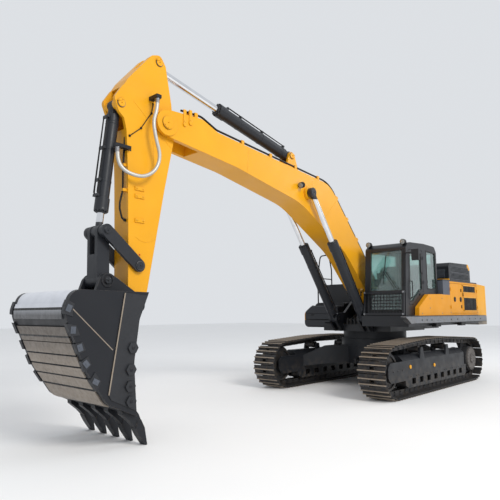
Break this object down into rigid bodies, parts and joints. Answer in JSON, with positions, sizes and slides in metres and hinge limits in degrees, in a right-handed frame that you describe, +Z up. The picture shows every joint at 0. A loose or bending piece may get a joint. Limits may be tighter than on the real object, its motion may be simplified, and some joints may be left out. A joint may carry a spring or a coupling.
{
  "type": "crawler excavator",
  "caption": "Large hydraulic crawler excavator: tracked undercarriage, swinging house with cab and counterweight, boom, arm and digging bucket with its cylinders.",
  "frame": {"origin": "on the ground, on the swing axis, midway between the tracks", "axes": "+X forward along the tracks and the boom, +Y to the cab's side, +Z up"},
  "size_m": [12.4175, 3.46, 5.8032],
  "materials": {
    "paint_yellow": "satin orange-yellow paint",
    "paint_dark": "satin near-black paint",
    "steel_grey": "satin dark grey paint",
    "bucket_steel": "worn dark grey paint, brown at the edges",
    "track_steel": "worn dark steel with bright grouser edges",
    "chrome_rod": "polished",
    "pin_steel": "machined",
    "glass": "green tinted",
    "seat_fabric": "woven cloth",
    "hose_wrap": "rubber hose in a silver wrap"
  },
  "bodies": {
    "undercarriage": {"car_body": "steel_grey", "idler_left": "track_steel", "idler_right": "track_steel", "lower_rollers_left": "track_steel", "lower_rollers_right": "track_steel", "sprocket_left": "track_steel", "sprocket_right": "track_steel", "swing_ring": "steel_grey", "track_frame_left": "steel_grey", "track_frame_right": "steel_grey", "track_left": "track_steel", "track_right": "track_steel", "upper_rollers_left": "track_steel", "upper_rollers_right": "track_steel"},
    "cab_door": {"cab_door": "paint_dark", "door_glass": "glass"},
    "engine_hood": {"engine_hood": "paint_dark", "hood_grilles": "paint_dark"},
    "front_side_door": {"front_side_door": "paint_yellow"},
    "rear_side_door": {"rear_side_door": "paint_yellow"},
    "pump_door": {"pump_door": "paint_yellow"},
    "boom": {"boom": "paint_yellow", "boom_pins": "pin_steel", "boom_pipes": "paint_dark", "boom_lamp": "paint_dark"},
    "boom_barrels": {"boom_cylinder_barrels": "steel_grey"},
    "boom_rods": {"boom_cylinder_rods": "chrome_rod"},
    "arm": {"arm": "paint_yellow", "arm_pins": "pin_steel", "arm_hose": "hose_wrap"},
    "arm_barrel": {"arm_cylinder_barrel": "steel_grey"},
    "arm_rod": {"arm_cylinder_rod": "chrome_rod"},
    "bucket": {"bucket": "bucket_steel", "bucket_teeth": "bucket_steel", "bucket_wear_parts": "bucket_steel"},
    "bucket_barrel": {"bucket_cylinder_barrel": "steel_grey"},
    "bucket_rod": {"bucket_cylinder_rod": "chrome_rod"},
    "guide_links": {"guide_links": "steel_grey"},
    "bucket_link": {"bucket_link": "steel_grey"},
    "house": {"cab_console": "paint_dark", "cab_glass": "glass", "cab_roof": "paint_dark", "cab_seat": "seat_fabric", "cab_shell": "paint_dark", "counterweight": "paint_yellow", "engine_block": "steel_grey", "exhaust_pipe": "paint_dark", "front_guard": "paint_dark", "handrail": "paint_dark", "house_frame": "paint_dark", "house_pins": "pin_steel", "left_catwalk": "steel_grey", "left_fairing": "paint_yellow", "mirror": "paint_dark", "right_fairing": "paint_yellow", "right_toolbox": "paint_dark", "roof_cover": "paint_dark", "tanks": "paint_yellow", "work_lamps": "paint_dark"}
  },
  "joints": [
    {"name": "swing", "type": "hinge", "parent": "undercarriage", "child": "house", "pos_m": [0, 0, 1.29], "axis": [0, 0, 1], "continuous": true},
    {"name": "cab_door_hinge", "type": "hinge", "parent": "house", "child": "cab_door", "pos_m": [0.385, 1.501, 2.6], "axis": [0, 0, 1], "range_deg": [0, 110]},
    {"name": "hood_hinge", "type": "hinge", "parent": "house", "child": "engine_hood", "pos_m": [-2.85, 0, 2.5153], "axis": [0, -1, 0], "range_deg": [0, 65]},
    {"name": "front_side_door_hinge", "type": "hinge", "parent": "house", "child": "front_side_door", "pos_m": [-0.88, 1.61, 2], "axis": [0, 0, -1], "range_deg": [0, 110]},
    {"name": "rear_side_door_hinge", "type": "hinge", "parent": "house", "child": "rear_side_door", "pos_m": [-2.7, 1.61, 2], "axis": [0, 0, 1], "range_deg": [0, 110]},
    {"name": "pump_door_hinge", "type": "hinge", "parent": "house", "child": "pump_door", "pos_m": [-2.7, -1.61, 2], "axis": [0, 0, -1], "range_deg": [0, 110]},
    {"name": "boom_lift", "type": "hinge", "parent": "house", "child": "boom", "pos_m": [0.25, 0, 2.08], "axis": [0, -1, 0], "range_deg": [-50, 38]},
    {"name": "boom_barrel_turn", "type": "hinge", "parent": "house", "child": "boom_barrels", "pos_m": [1.2, 0, 1.6], "axis": [0, -1, 0], "range_deg": [-54.48, 41.45]},
    {"name": "boom_rod_slide", "type": "slide", "parent": "boom_barrels", "child": "boom_rods", "axis": [0.5909, 0, 0.8068], "range_m": [-0.8185, 0.6225]},
    {"name": "arm_swing", "type": "hinge", "parent": "boom", "child": "arm", "pos_m": [6.806, 0, 4.698], "axis": [0, 1, 0], "range_deg": [-65, 45]},
    {"name": "arm_barrel_turn", "type": "hinge", "parent": "boom", "child": "arm_barrel", "pos_m": [3.43, 0, 4.97], "axis": [0, 1, 0], "range_deg": [-2.68, 1.91]},
    {"name": "arm_rod_slide", "type": "slide", "parent": "arm_barrel", "child": "arm_rod", "axis": [0.9794, 0, 0.2019], "range_m": [-1.047, 0.7254]},
    {"name": "bucket_curl", "type": "hinge", "parent": "arm", "child": "bucket", "pos_m": [7.25, 0, 1.832], "axis": [0, 1, 0], "range_deg": [-17, 125]},
    {"name": "guide_link_turn", "type": "hinge", "parent": "arm", "child": "guide_links", "pos_m": [7.243, 0, 2.414], "axis": [0, 1, 0], "range_deg": [-14.76, 107.28]},
    {"name": "bucket_link_turn", "type": "hinge", "parent": "guide_links", "child": "bucket_link", "pos_m": [7.797, 0, 2.875], "axis": [0, 1, 0], "range_deg": [-84.03, 11.6]},
    {"name": "bucket_barrel_turn", "type": "hinge", "parent": "arm", "child": "bucket_barrel", "pos_m": [7.595, 0, 4.811], "axis": [0, 1, 0], "range_deg": [-0.61, 3.21]},
    {"name": "bucket_rod_slide", "type": "slide", "parent": "bucket_barrel", "child": "bucket_rod", "axis": [0.1038, 0, -0.9946], "range_m": [-0.1661, 1.2087]}
  ],
  "couplings": [
    {"joint": "boom_barrel_turn", "follows": "boom_lift", "ratio": 1.0856},
    {"joint": "boom_rod_slide", "follows": "boom_lift", "m_per_rad": 0.9356},
    {"joint": "arm_barrel_turn", "follows": "arm_swing", "ratio": 0.0381},
    {"joint": "arm_rod_slide", "follows": "arm_swing", "m_per_rad": 0.9211},
    {"joint": "guide_link_turn", "follows": "bucket_curl", "ratio": 0.8566},
    {"joint": "bucket_link_turn", "follows": "bucket_curl", "ratio": -0.6706},
    {"joint": "bucket_barrel_turn", "follows": "bucket_curl", "ratio": 0.0241},
    {"joint": "bucket_rod_slide", "follows": "bucket_curl", "m_per_rad": 0.5531}
  ]
}
